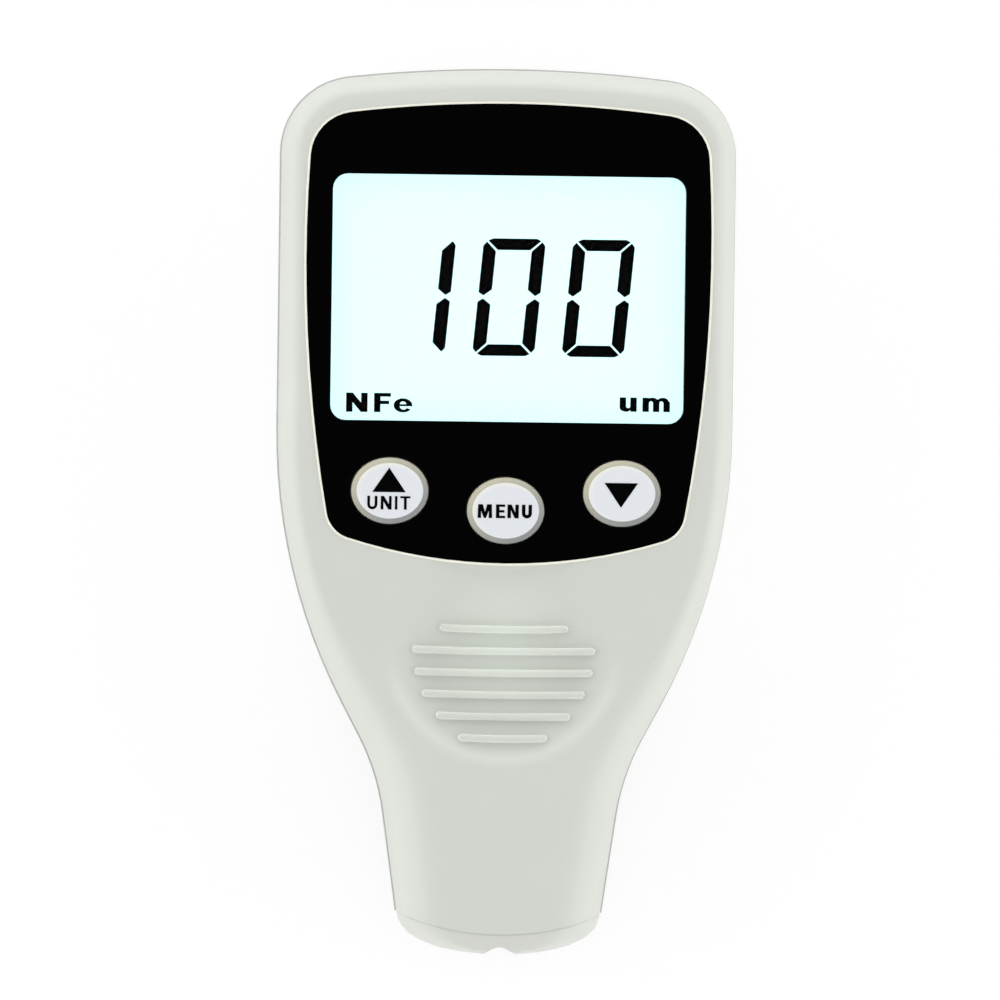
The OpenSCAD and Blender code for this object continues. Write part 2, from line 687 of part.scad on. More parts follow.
module buzzer() color([0.1, 0.1, 0.1]) difference() {
    post(buzzer_xy, 2 * buzzer_r, board_low - buzzer_t, board_low);
    post(buzzer_xy, buzzer_r / 2, board_low - buzzer_t - cut, board_low - buzzer_t / 2);
}

module key(c) skin([
    oval_ring(c, key_flange, key_low),
    oval_ring(c, key_flange, key_flange_top),
    oval_ring(c, 0, key_flange_top),
    oval_ring(c, 0, key_top - key_bevel_h - key_round),
    oval_ring(c, -key_round, key_top - key_bevel_h),
    oval_ring(c, -key_bevel, key_top)]);
module key_up() color([0.89, 0.91, 0.93]) key(key_xy[0]);
module key_menu() color([0.89, 0.91, 0.93]) key(key_xy[1]);
module key_down() color([0.89, 0.91, 0.93]) key(key_xy[2]);

module push_switch(c) difference() {
    translate([c[0] - switch_w / 2, c[1] - switch_w / 2, board_top]) cube([switch_w, switch_w, switch_h]);
    post(c, 2 * (plunger_r + slide_fit), board_top + switch_h - plunger_depth - key_stroke,
         board_top + switch_h + cut);
}
module switch_up() color([0.15, 0.15, 0.15]) push_switch(key_xy[0]);
module switch_menu() color([0.15, 0.15, 0.15]) push_switch(key_xy[1]);
module switch_down() color([0.15, 0.15, 0.15]) push_switch(key_xy[2]);

module plunger(c) post(c, 2 * plunger_r, board_top + switch_h - plunger_depth + part_clear, key_low);
module plunger_up() color([0.6, 0.6, 0.6]) plunger(key_xy[0]);
module plunger_menu() color([0.6, 0.6, 0.6]) plunger(key_xy[1]);
module plunger_down() color([0.6, 0.6, 0.6]) plunger(key_xy[2]);

// positioning notch across the end of the nose
module notch() translate([0, 0, -cut]) linear_extrude(body_t + 2 * cut) polygon(concat(
    [for (i = [0:20]) let (x = -notch_w + notch_w * i / 10)
        [x, y_end + notch_d * (abs(x) < notch_w * 0.75 ? (1 + cos(240 * x / notch_w)) / 2 : 0)]],
    [[notch_w, y_end - cut], [-notch_w, y_end - cut]]));

nose_q = [0.04, 0.25, 0.45, 0.62, 0.75, 0.85, 0.92, 0.965, 0.99];
function nose_y(q) = y_end + nose_round * (1 - pow(1 - pow(q, nose_power), 1 / nose_power));
function nose_r(q) = 1 - nose_lip * pow(1 - q, 4);
module probe_collar() color(shell_grey) difference() {
    union() {
        intersection() {
            skin(concat([for (q = nose_q) neck_ring(nose_y(q), 0, q, nose_r(q))],
                        [neck_ring(y_end + nose_round, 0, 1), neck_ring(seam_y + seam_r / 4, 0, 1)]));
            beyond_seam(seam_r + seam_gap);
        }
        skin([neck_ring(seam_y - lap, plug_in, 1), neck_ring(seam_y + plug_l, plug_in, 1)]);
        on_axis(nose_h) cylinder(r = tube_r, h = tube_d1 - nose_h);
        for (d = [bulk_d0 - tube_flange_t - part_clear, bulk_d0 + bulk_t + part_clear])
            on_axis(d) cylinder(r = tube_r + tube_flange, h = tube_flange_t);
    }
    on_axis(lip_d) cylinder(r = bore_r, h = tube_d1);
    on_axis(-cut) cylinder(r = sleeve_nose_r + slide_fit, h = lip_d + 2 * cut);
    notch();
}

module probe_sleeve() color(steel) difference() {
    union() {
        on_axis(sleeve_d0) cylinder(r = sleeve_r, h = sleeve_l);
        on_axis(tip_d0 + tip_r / 2) cylinder(r = sleeve_nose_r, h = sleeve_d0 - tip_d0);
    }
    on_axis(sleeve_d0 + sleeve_front) cylinder(r = sleeve_bore, h = sleeve_l);
    on_axis(-cut) cylinder(r = tip_r + part_clear / 2, h = sleeve_d0 + 2 * cut);
}

module probe_tip() color([0.8, 0.8, 0.82]) on_axis(tip_d0) rotate_extrude() polygon(concat(
    [for (i = [0:8]) tip_r * [sin(90 * i / 8), 1 - cos(90 * i / 8)]], [[tip_r, tip_l], [0, tip_l]]));

module probe_core() color([0.2, 0.2, 0.22]) difference() {
    on_axis(coil_d0) cylinder(r = core_r, h = core_l);
    on_axis(coil_d0 - cut) cylinder(r = tip_r + part_clear / 2, h = tip_d0 + tip_l + part_clear - coil_d0 + cut);
}

module coil_bobbin() color([0.9, 0.88, 0.8]) difference() {
    union() {
        on_axis(coil_d0) cylinder(r = hub_r, h = bobbin_l);
        for (i = [0:2])
            on_axis(coil_d0 + i * (bobbin_l - bobbin_flange) / 2) cylinder(r = bobbin_r, h = bobbin_flange);
    }
    on_axis(coil_d0 - cut) cylinder(r = core_r + part_clear / 2, h = bobbin_l + 2 * cut);
}
module coil(i) difference() {
    on_axis(coil_d0 + i * (bobbin_l - bobbin_flange) / 2 + bobbin_flange)
        cylinder(r = bobbin_r - coil_fill, h = (bobbin_l - bobbin_flange) / 2 - bobbin_flange);
    on_axis(coil_d0) cylinder(r = hub_r + part_clear / 2, h = bobbin_l);
}
module drive_coil() color(copper) coil(0);
module pickup_coil() color(copper) coil(1);

module probe_plug() color([0.2, 0.2, 0.21]) {
    on_axis(plug_d0) cylinder(r = sleeve_bore - part_clear / 2, h = sleeve_d1 - plug_d0 + lap);
    on_axis(sleeve_d1) cylinder(r = sleeve_r, h = plug_flange);
    on_axis(spring_d0 - lap) cylinder(r = plug_pin_r, h = plug_pin_l + lap);
}

// coil along +Y from y0 to y1 round an axis at x, z
module helix(x, z, y0, y1, r0, r1, turns, wire, steps) {
    n = round(turns * steps);
    skin([for (k = [0:n])
        let (t = k / n, a = 360 * turns * t, r = r0 + (r1 - r0) * t, y = y0 + (y1 - y0) * t)
        [for (j = [0:5])
            let (b = 60 * j)
            [x + (r + wire * cos(b)) * cos(a), y - wire * sin(b), z + (r + wire * cos(b)) * sin(a)]]]);
}

module probe_spring() color(steel)
    helix(0, part_z, y_end + spring_d0 + spring_wire + spring_gap, y_end + spring_d1 - spring_wire - spring_gap,
          spring_r, spring_r, spring_turns, spring_wire, 16);

module spring_cap() color([0.2, 0.2, 0.21]) difference() {
    union() {
        on_axis(spring_d1) cylinder(r = bore_r - part_clear / 2, h = cap_spigot + lap);
        on_axis(tube_d1) cylinder(r = tube_r, h = cap_t);
    }
    on_axis(spring_d1 - cut) cylinder(r = cap_hole_r, h = cap_spigot + cap_t + 2 * cut);
}

// cell with its nub on the side of dir
module cell(x, y_mid, dir) translate([x, y_mid, cell_z]) rotate([-90 * dir, 0, 0])
    translate([0, 0, -cell_l / 2]) rotate_extrude() polygon([[0, 0], [cell_d / 2, 0], [cell_d / 2, cell_l - nub_l], [nub_r, cell_l - nub_l],
                              [nub_r, cell_l], [0, cell_l]]);
module cell_left() color([0.7, 0.7, 0.72]) cell(-cell_x, bay_y1 - plate_t - cell_l / 2 - part_clear / 2, 1);
module cell_right() color([0.7, 0.7, 0.72]) cell(cell_x, bay_y0 + plate_t + cell_l / 2 + part_clear / 2, -1);

module contact_plate(x0, x1, y0) box(x0, x1, y0, y0 + plate_t, plate_z0, plate_z1);
module contact_bridge() color(steel) {
    contact_plate(-cell_x - plate_w / 2, cell_x + plate_w / 2, bay_y1 - plate_t);
    helix(cell_x, cell_z, bay_y1 - plate_t - spring_room + coil_wire + part_clear,
          bay_y1 - plate_t - coil_wire / 2,
          coil_r1, coil_r0, coil_turns, coil_wire, 12);
}
module contact_negative() color(steel) {
    contact_plate(-cell_x - plate_w / 2, -cell_x + plate_w / 2, bay_y0);
    helix(-cell_x, cell_z, bay_y0 + plate_t + coil_wire / 2,
          bay_y0 + plate_t + spring_room - coil_wire - part_clear,
          coil_r0, coil_r1, coil_turns, coil_wire, 12);
}
module contact_positive() color(steel)
    contact_plate(cell_x - plate_w / 2, cell_x + plate_w / 2, bay_y0);

module cross(w) for (a = [0, 90]) rotate([0, 0, a]) translate([-w / 2, -slot_w / 2, -cut])
    cube([w, slot_w, slot_d + cut]);
module housing_screws() color(steel) at_pairs(screw_xy) difference() {
    union() {
        post([0, 0], screw_head_d, screw_seat - screw_head_t, screw_seat);
        post([0, 0], screw_d, screw_seat - lap, part_z + screw_grip);
    }
    translate([0, 0, screw_seat - screw_head_t]) cross(screw_head_d * 0.6);
}
module board_screws() color(steel) at_pairs(post_xy) difference() {
    union() {
        post([0, 0], pin_head_d, board_low - pin_head_t, board_low);
        post([0, 0], pin_d, board_low - lap, board_low + pin_l);
    }
    translate([0, 0, board_low - pin_head_t]) cross(pin_head_d * 0.6);
}

front_housing();
rear_housing();
battery_door();
face_panel();
display_window();
display_glass();
backlight();
display_frame();
connector_strip();
circuit_board();
controller_chip();
crystal();
buzzer();
key_up();
key_menu();
key_down();
switch_up();
switch_menu();
switch_down();
plunger_up();
plunger_menu();
plunger_down();
probe_collar();
probe_sleeve();
probe_tip();
probe_core();
coil_bobbin();
drive_coil();
pickup_coil();
probe_plug();
probe_spring();
spring_cap();
cell_left();
cell_right();
contact_bridge();
contact_negative();
contact_positive();
housing_screws();
board_screws();
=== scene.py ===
import math

import bmesh
import bpy
from mathutils import Matrix, Vector


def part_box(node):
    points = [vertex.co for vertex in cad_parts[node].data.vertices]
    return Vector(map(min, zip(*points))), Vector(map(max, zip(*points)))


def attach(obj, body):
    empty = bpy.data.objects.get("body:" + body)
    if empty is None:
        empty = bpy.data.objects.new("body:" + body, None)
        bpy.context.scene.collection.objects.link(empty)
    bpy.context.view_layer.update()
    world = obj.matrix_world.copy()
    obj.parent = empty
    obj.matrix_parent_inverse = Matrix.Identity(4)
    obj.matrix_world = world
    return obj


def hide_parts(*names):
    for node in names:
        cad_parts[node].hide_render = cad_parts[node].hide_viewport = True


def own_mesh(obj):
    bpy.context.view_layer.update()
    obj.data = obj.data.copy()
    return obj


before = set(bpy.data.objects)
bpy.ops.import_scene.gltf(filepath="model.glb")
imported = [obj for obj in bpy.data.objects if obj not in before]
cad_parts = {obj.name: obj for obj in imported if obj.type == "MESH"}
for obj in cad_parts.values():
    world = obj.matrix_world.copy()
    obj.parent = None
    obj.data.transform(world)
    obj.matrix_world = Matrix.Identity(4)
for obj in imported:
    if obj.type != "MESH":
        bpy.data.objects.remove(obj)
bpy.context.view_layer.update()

MM = 0.001
SCENE = bpy.context.scene
SCENE.view_settings.view_transform = "Standard"


# Camera: down on the face, a touch from the left and above, turned as far as the gauge lies askew
VIEW_MM = 119.65
VIEW_CENTRE = (-0.41, 1.33, 13.85)
VIEW_TURN = 0.75
VIEW_LEAN = (-0.6, -1.2)
LENS = 600
SENSOR = 36
VIEW_REACH = 20

camera_data = bpy.data.cameras.new("view")
camera_data.lens = LENS
camera_data.sensor_width = SENSOR
camera_data.clip_end = VIEW_REACH
camera = bpy.data.objects.new("view", camera_data)
SCENE.collection.objects.link(camera)
view_turn = Matrix.Identity(3)
for angle, axis in zip((*VIEW_LEAN, VIEW_TURN), "XYZ"):
    view_turn = view_turn @ Matrix.Rotation(math.radians(angle), 3, axis)
view_distance = VIEW_MM * LENS / SENSOR
camera.location = (Vector(VIEW_CENTRE) + view_turn @ Vector((0, 0, view_distance))) * MM
camera.rotation_euler = view_turn.to_euler()
SCENE.camera = camera


# Shader maths
def tint(red, green, blue):
    """A colour as it looks, 0 to 255, in the linear numbers that shaders take."""
    def line(v):
        v /= 255
        return v / 12.92 if v <= 0.04045 else ((v + 0.055) / 1.055) ** 2.4
    return (line(red), line(green), line(blue), 1.0)


class Wire:
    """One value on its way through a finish. Sums on it add Math nodes."""

    def __init__(self, finish, socket):
        self.finish = finish
        self.socket = socket

    def sum(self, operation, first, second):
        return self.finish.node("ShaderNodeMath", {"operation": operation}, {0: first, 1: second})

    def __add__(self, other):
        return self.sum("ADD", self, other)

    __radd__ = __add__

    def __sub__(self, other):
        return self.sum("SUBTRACT", self, other)

    def __rsub__(self, other):
        return self.sum("SUBTRACT", other, self)

    def __mul__(self, other):
        return self.sum("MULTIPLY", self, other)

    __rmul__ = __mul__

    def __pow__(self, other):
        return self.sum("POWER", self, other)

    def __rpow__(self, other):
        return self.sum("POWER", other, self)

    def least(self, other):
        return self.sum("MINIMUM", self, other)

    def most(self, other):
        return self.sum("MAXIMUM", self, other)


class Finish:
    """A node tree and the one method that adds nodes to it."""

    def __init__(self, name, tree=None):
        if tree is None:
            self.material = bpy.data.materials.new(name)
            self.material.use_nodes = True
            tree = self.material.node_tree
        self.tree = tree
        self.tree.nodes.clear()

    def node(self, kind, settings=None, sockets=None, out=0):
        made = self.tree.nodes.new(kind)
        for key, value in (settings or {}).items():
            setattr(made, key, value)
        for key, value in (sockets or {}).items():
            if isinstance(value, Wire):
                self.tree.links.new(value.socket, made.inputs[key])
            else:
                made.inputs[key].default_value = value
        return Wire(self, made.outputs[out]) if made.outputs else None

    def place(self):
        return self.node("ShaderNodeTexCoord", out="Object")

    def axes(self):
        split = self.node("ShaderNodeSeparateXYZ", sockets={0: self.place()})
        return [Wire(self, split.socket.node.outputs[i]) for i in range(3)]

    def grain(self, size, detail=2.0, rough=0.5, stretch=None):
        """Soft noise with features about size millimetres across, 0 to 1."""
        place = self.place()
        if stretch:
            place = self.node("ShaderNodeMapping", sockets={"Vector": place, "Scale": stretch})
        return self.node("ShaderNodeTexNoise", sockets={
            "Vector": place, "Scale": 1 / (size * MM), "Detail": detail, "Roughness": rough})

    def pits(self, size):
        """Cells about size millimetres across, 0 at their middles."""
        return self.node("ShaderNodeTexVoronoi", sockets={
            "Vector": self.place(), "Scale": 1 / (size * MM)})

    def blend(self, share, first, second):
        return self.node("ShaderNodeMix", {"data_type": "RGBA"}, {0: share, 6: first, 7: second}, out=2)

    def spread(self, value, low, high):
        """value with low to high drawn out to 0 to 1."""
        return self.node("ShaderNodeMapRange", {"clamp": True}, {
            "Value": value, "From Min": low, "From Max": high, "To Min": 0.0, "To Max": 1.0})

    def relief(self, height, depth):
        """A bump of depth millimetres."""
        return self.node("ShaderNodeBump", sockets={
            "Strength": 1.0, "Distance": depth * MM, "Height": height})

    def skin(self, sockets):
        shader = self.node("ShaderNodeBsdfPrincipled", sockets=sockets)
        self.node("ShaderNodeOutputMaterial", sockets={"Surface": shader})
        return self.material


# Finishes
PLASTIC_GLOSS = 0.35
GRIT_SWING = 0.12
SCUFF_EDGE = (0.62, 0.72)
DISPLAY_GLOW = 0.93
TRACK_EDGE = (0.48, 0.52)
COIL_PITCH = 0.2

# Thumb dish: its circle, and the stretches over which its painted light comes and goes: a painted highlight
# along its lower rim and painted light in its middle
DISH_Y = -15.7
DISH_R = 13.7
DISH_HIGHLIGHT_HALF = 1.3
DISH_HIGHLIGHT_FADE = (-17, -22)
DISH_RIM_HIGHLIGHT = 0.6
DISH_MIDDLE_LIGHT = 0.75
DISH_MIDDLE_SPAN = (-5, -12)

# Keys: shares of the way from middle to edge, and of the turn towards the light, where their painted
# highlight and painted shade change
KEY_HIGHLIGHT_RING = (0.72, 0.84)
KEY_HIGHLIGHT_SIDE = (-0.7, 0.7)
KEY_RIM_RING = (0.852, 0.872)
KEY_RIM_LIGHT_SIDE = (-0.9, 0.9)

# Cells: distances from the plus end where bare steel, silver band and sleeve end
CELL_BARE = (1.0, 1.2)
CELL_BAND = (8.0, 8.3)
CELL_SLEEVE = (43.9, 44.1)


def dish_light_mask(f):
    """Where light is painted on the thumb dish, in its middle and along its lower rim, 0 to 1."""
    x, y, _ = f.axes()
    out = (x ** 2 + (y - DISH_Y * MM) ** 2) ** 0.5 - DISH_R * MM
    band = 1 - f.spread(out.most(-1 * out), 0.0, DISH_HIGHLIGHT_HALF * MM)
    # Painted highlight: the band only along the dish's lower rim
    rim = band * f.spread(y, DISH_HIGHLIGHT_FADE[0] * MM, DISH_HIGHLIGHT_FADE[1] * MM)
    # Painted light in the dish's middle
    inside = f.spread(out, DISH_MIDDLE_SPAN[0] * MM, DISH_MIDDLE_SPAN[1] * MM)
    return (DISH_RIM_HIGHLIGHT * rim).most(DISH_MIDDLE_LIGHT * inside)


def moulded_plastic(name, shade, cloud, rough, spark=0.2, depth=0.012, dish_light_colour=None):
    """Injection moulded plastic with a fine spark-eroded texture and faint clouding."""
    f = Finish(name)
    clouds = f.grain(9, detail=3)
    grit = f.grain(spark, detail=3, rough=0.6)
    dimples = f.pits(spark * 1.6)
    colour = f.blend(clouds * 0.8 + grit * 0.2, shade, cloud)
    # Painted light on the thumb dish, in the colour given for it
    if dish_light_colour:
        colour = f.blend(dish_light_mask(f), colour, dish_light_colour)
    return f.skin({
        "Base Color": colour,
        "Roughness": rough - GRIT_SWING / 2 + GRIT_SWING * grit,
        "Specular IOR Level": PLASTIC_GLOSS,
        "Normal": f.relief(grit + dimples * 0.5, depth),
    })


def gloss_print(name, shade, cloud, rough, specular):
    """Glossy printed sheet: a little orange peel and a few hairline scuffs."""
    f = Finish(name)
    peel = f.grain(1.6)
    scuffs = f.grain(0.5, rough=0.6, stretch=(1, 14, 1))
    return f.skin({
        "Base Color": f.blend(f.grain(6), shade, cloud),
        "Roughness": rough + 0.08 * f.spread(scuffs, *SCUFF_EDGE),
        "Specular IOR Level": specular,
        "Normal": f.relief(peel, 0.002),
    })


def turned_metal(name, shade, dark, rough, stretch):
    """Machined metal with its tool marks drawn along one direction."""
    f = Finish(name)
    marks = f.grain(0.12, rough=0.6, stretch=stretch)
    stain = f.grain(2.5, detail=3)
    return f.skin({
        "Base Color": f.blend(stain * 0.6 + marks * 0.3, shade, dark),
        "Metallic": 1.0,
        "Roughness": rough + 0.14 * marks,
        "Normal": f.relief(marks, 0.004),
    })


def key_face():
    """White key plastic with painted light: a warm painted highlight at the face's edge on the side towards
    the light, and a rim painted pale towards the light and grey as painted shade away from it.
    """
    f = Finish("key_white")
    grit = f.grain(0.3, detail=3, rough=0.6)
    near = f.node("ShaderNodeAttribute", {"attribute_name": "near_rim"}, out="Fac")
    turn = f.node("ShaderNodeAttribute", {"attribute_name": "turn_to_light"}, out="Fac")
    middle = f.blend(f.grain(4, detail=3), tint(227, 231, 236), tint(230, 233, 238))
    # Painted highlight: the face's edge warmer on the side towards the light
    highlight_share = f.spread(near, *KEY_HIGHLIGHT_RING) * f.spread(turn, *KEY_HIGHLIGHT_SIDE)
    face_highlight = f.blend(highlight_share, middle, tint(240, 240, 233))
    # Rim: painted light beige towards the light, painted shade grey on the far side
    light = f.blend(grit, tint(190, 186, 164), tint(184, 181, 163))
    grey = f.blend(grit, tint(136, 139, 138), tint(144, 146, 144))
    rim = f.blend(f.spread(turn, *KEY_RIM_LIGHT_SIDE), grey, light)
    return f.skin({
        "Base Color": f.blend(f.spread(near, *KEY_RIM_RING), face_highlight, rim),
        "Roughness": 0.32 + 0.08 * grit,
        "Specular IOR Level": PLASTIC_GLOSS,
        "Normal": f.relief(grit, 0.004),
    })


def lit_display():
    """Backlit display, evenly lit, with a fine frost."""
    f = Finish("display_lit")
    frost = f.grain(0.6)
    glow = f.blend(frost, tint(200, 249, 250), tint(206, 254, 254))
    return f.skin({
        "Base Color": f.blend(frost, tint(150, 164, 164), tint(160, 172, 172)),
        "Roughness": 0.3 + 0.1 * frost,
        "Emission Color": glow,
        "Emission Strength": DISPLAY_GLOW,
    })


def clear_lens():
    """Thin clear window, nearly free of reflections."""
    f = Finish("lens_clear")
    return f.skin({
        "Base Color": (1, 1, 1, 1),
        "Roughness": 0.01 + 0.02 * f.grain(3),
        "IOR": 1.06,
        "Transmission Weight": 1.0,
        "Specular IOR Level": 0.1,
    })


def ink(name, shade):
    """Printed or driven black: dense, slightly mottled, half matt."""
    f = Finish(name)
    mottle = f.grain(0.3, detail=3)
    return f.skin({
        "Base Color": f.blend(mottle, shade, tint(5, 5, 6)),
        "Roughness": 0.45 + 0.15 * mottle,
        "Specular IOR Level": 0.01,
    })


def board_laminate():
    """Green solder resist, lighter and a little raised where tracks run under it."""
    f = Finish("board_green")
    weave = f.grain(0.8)
    tracks = f.spread(f.grain(2.2, detail=0, stretch=(1, 0.2, 1)), *TRACK_EDGE)
    return f.skin({
        "Base Color": f.blend(tracks, tint(22, 92, 52), tint(34, 118, 66)),
        "Roughness": 0.3 + 0.15 * weave,
        "Normal": f.relief(tracks, 0.03),
    })


def wound_copper():
    """Enamelled wire wound in close turns along the probe."""
    f = Finish("coil_winding")
    _, y, _ = f.axes()
    turns = f.node("ShaderNodeMath", {"operation": "SINE"}, {0: y * (2 * math.pi / (COIL_PITCH * MM))})
    stain = f.grain(1.5)
    return f.skin({
        "Base Color": f.blend(stain, tint(176, 98, 52), tint(198, 122, 70)),
        "Metallic": 0.9,
        "Roughness": 0.28 + 0.1 * stain,
        "Normal": f.relief(turns, 0.06),
    })


def cell_jacket(name, plus_y, direction):
    """Printed cell jacket: a dark sleeve, a silver band near its plus end, bare steel at the ends."""
    f = Finish(name)
    _, y, _ = f.axes()
    run = (plus_y * MM - y) * (direction / MM)
    band = f.spread(run, *CELL_BAND)
    bare = 1 - f.spread(run, *CELL_BARE)
    tail = f.spread(run, *CELL_SLEEVE)
    steel_share = bare.most(tail)
    jacket = f.blend(band, tint(176, 178, 180), tint(34, 58, 96))
    fleck = f.grain(0.4)
    return f.skin({
        "Base Color": f.blend(steel_share, jacket, tint(190, 188, 182)),
        "Metallic": 0.35 + 0.6 * steel_share,
        "Roughness": 0.26 + 0.16 * fleck,
        "Normal": f.relief(fleck, 0.004),
    })


# The front case; its last colour is the painted light on its thumb dish
case_front = moulded_plastic(
    "case_front", tint(208, 212, 204), tint(213, 216, 209), 0.48, dish_light_colour=tint(224, 230, 221))
case_rear = moulded_plastic("case_rear", tint(206, 210, 202), tint(211, 214, 207), 0.5)
case_nose = moulded_plastic("case_nose", tint(209, 212, 205), tint(214, 216, 209), 0.46)
# Near-white for the bead round the panel: a painted highlight
rim_highlight = moulded_plastic(
    "rim_highlight", tint(236, 236, 221), tint(242, 241, 228), 0.3, spark=0.3, depth=0.004)
# A little darker than the case, for the nose seam's bead: painted shade
seam_shade = moulded_plastic("seam_shade", tint(198, 201, 194), tint(203, 205, 198), 0.5)
# Grey for the bead in the shells' seam: painted shade
seam_shadow_grey = moulded_plastic("seam_shadow_grey", tint(168, 170, 167), tint(176, 178, 174), 0.6)
panel_black = gloss_print("panel_black", tint(1, 1, 1), tint(2, 2, 3), 0.12, specular=0.012)
lens_clear = clear_lens()
display_lit = lit_display()
segment_ink = ink("segment_ink", tint(1, 1, 2))
legend_ink = ink("legend_ink", tint(3, 3, 4))
key_white = key_face()
sleeve_steel = turned_metal("sleeve_steel", tint(206, 207, 208), tint(170, 171, 174), 0.24, (1, 12, 1))
tip_hard = turned_metal("tip_hard", tint(222, 222, 224), tint(190, 190, 194), 0.14, (1, 12, 1))
spring_wire = turned_metal("spring_wire", tint(188, 189, 192), tint(150, 151, 154), 0.28, (1, 1, 1))
screw_zinc = turned_metal("screw_zinc", tint(184, 186, 188), tint(140, 142, 146), 0.3, (1, 1, 8))
can_nickel = turned_metal("can_nickel", tint(202, 200, 194), tint(172, 170, 166), 0.26, (6, 1, 1))
dark_plastic = moulded_plastic("dark_plastic", tint(44, 45, 47), tint(54, 55, 57), 0.46)
chip_black = moulded_plastic(
    "chip_black", tint(26, 26, 28), tint(36, 36, 38), 0.56, spark=0.12, depth=0.008)
strip_rubber = moulded_plastic(
    "strip_rubber", tint(40, 40, 42), tint(70, 70, 74), 0.7, spark=0.15, depth=0.02)
diffuser_white = moulded_plastic("diffuser_white", tint(236, 238, 232), tint(244, 245, 240), 0.4)
bobbin_cream = moulded_plastic("bobbin_cream", tint(222, 216, 196), tint(230, 226, 208), 0.44)
plunger_grey = moulded_plastic("plunger_grey", tint(150, 152, 152), tint(164, 166, 166), 0.42)
core_ferrite = moulded_plastic(
    "core_ferrite", tint(52, 52, 56), tint(64, 64, 68), 0.6, spark=0.15, depth=0.02)
board_green = board_laminate()
coil_winding = wound_copper()


# Pieces
WELD_STEPS = 1e7
NEUTRAL_WEIGHT = 50
CREASE = 32
SPRING_CREASE = 40
RETURN_CREASE = 70


def settle(piece, body, slot, *nodes):
    """The piece on its body, in place of the nodes that it replaces; slot is not used."""
    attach(piece, body)
    if nodes:
        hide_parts(*nodes)
    return piece


def add_piece(name, mesh, *finishes):
    for finish in finishes:
        mesh.materials.append(finish)
    piece = bpy.data.objects.new(name, mesh)
    SCENE.collection.objects.link(piece)
    return piece


def plain_mesh(piece, name):
    """The piece as its modifiers leave it, as a plain mesh; the piece itself goes."""
    shape = piece.evaluated_get(bpy.context.evaluated_depsgraph_get())
    mesh = bpy.data.meshes.new_from_object(shape)
    mesh.name = name
    bpy.data.objects.remove(piece)
    return mesh


def joined(node, name):
    """A copy of a CAD node with its loose triangles joined where their corners meet."""
    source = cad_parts[node].data
    spots = {}
    corner = []
    points = []
    for vertex in source.vertices:
        key = tuple(round(c * WELD_STEPS) for c in vertex.co)
        if key not in spots:
            spots[key] = len(points)
            points.append(vertex.co.copy())
        corner.append(spots[key])
    faces = [[corner[i] for i in face.vertices] for face in source.polygons]
    mesh = bpy.data.meshes.new(name)
    mesh.from_pydata(points, [], [f for f in faces if len(set(f)) == len(f)])
    return mesh


def smooth_copy(node, name, body, slot, finish, crease=CREASE):
    """The CAD node with its rounded places shaded round and its creases kept."""
    mesh = joined(node, name)
    mesh.shade_smooth()
    mesh.set_sharp_from_angle(angle=math.radians(crease))
    piece = add_piece(name, mesh)
    even = piece.modifiers.new("even", "WEIGHTED_NORMAL")
    even.keep_sharp = True
    even.weight = NEUTRAL_WEIGHT
    piece = add_piece(name, plain_mesh(piece, name), finish)
    return settle(piece, body, slot, node)


smooth_copy("front_housing", "front_shell", "body", "case_plastic", case_front)
smooth_copy("rear_housing", "rear_shell", "body", "case_plastic", case_rear)
smooth_copy("probe_collar", "nose_collar", "body", "case_plastic", case_nose)
smooth_copy("battery_door", "door_cover", "battery_door", "case_plastic", case_rear)
smooth_copy("face_panel", "face_plate", "body", "panel_gloss", panel_black)
smooth_copy("display_window", "window_lens", "body", "window_clear", lens_clear)
smooth_copy("probe_sleeve", "sleeve_turned", "probe", "probe_steel", sleeve_steel)
smooth_copy("probe_tip", "contact_tip", "probe", "tip_steel", tip_hard)
smooth_copy("housing_screws", "case_screws", "body", "screw_steel", screw_zinc)
smooth_copy("contact_bridge", "bridge_spring", "body", "spring_steel", spring_wire, SPRING_CREASE)
smooth_copy("contact_negative", "minus_spring", "body", "spring_steel", spring_wire, SPRING_CREASE)
smooth_copy("contact_positive", "plus_plate", "body", "spring_steel", spring_wire)
return_spring = smooth_copy(
    "probe_spring", "return_spring", "body", "spring_steel", spring_wire, RETURN_CREASE)
for side, direction in (("left", 1), ("right", -1)):
    low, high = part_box("cell_" + side)
    plus_y = (high.y if direction > 0 else low.y) / MM
    smooth_copy("cell_" + side, side + "_cell", "body", "cell_jacket",
                cell_jacket("cell_sleeve_" + side, plus_y, direction))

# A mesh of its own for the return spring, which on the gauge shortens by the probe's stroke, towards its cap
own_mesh(return_spring)


# Inner nodes keep their CAD shape and get finishes of their own
def dress(finish, *nodes):
    for node in nodes:
        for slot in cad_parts[node].material_slots:
            slot.material = finish


dress(display_lit, "display_glass")
dress(diffuser_white, "backlight")
dress(dark_plastic, "display_frame", "probe_plug", "spring_cap")
dress(strip_rubber, "connector_strip")
dress(board_green, "circuit_board")
dress(chip_black, "controller_chip", "buzzer", "switch_up", "switch_menu", "switch_down")
dress(can_nickel, "crystal")
dress(plunger_grey, "plunger_up", "plunger_menu", "plunger_down")
dress(core_ferrite, "probe_core")
dress(bobbin_cream, "coil_bobbin")
dress(coil_winding, "drive_coil", "pickup_coil")
dress(screw_zinc, "board_screws")


# Beads, swept along loops of the CAD by geometry nodes
BEAD_SIDES = 14
NOSE_FACING = 0.9


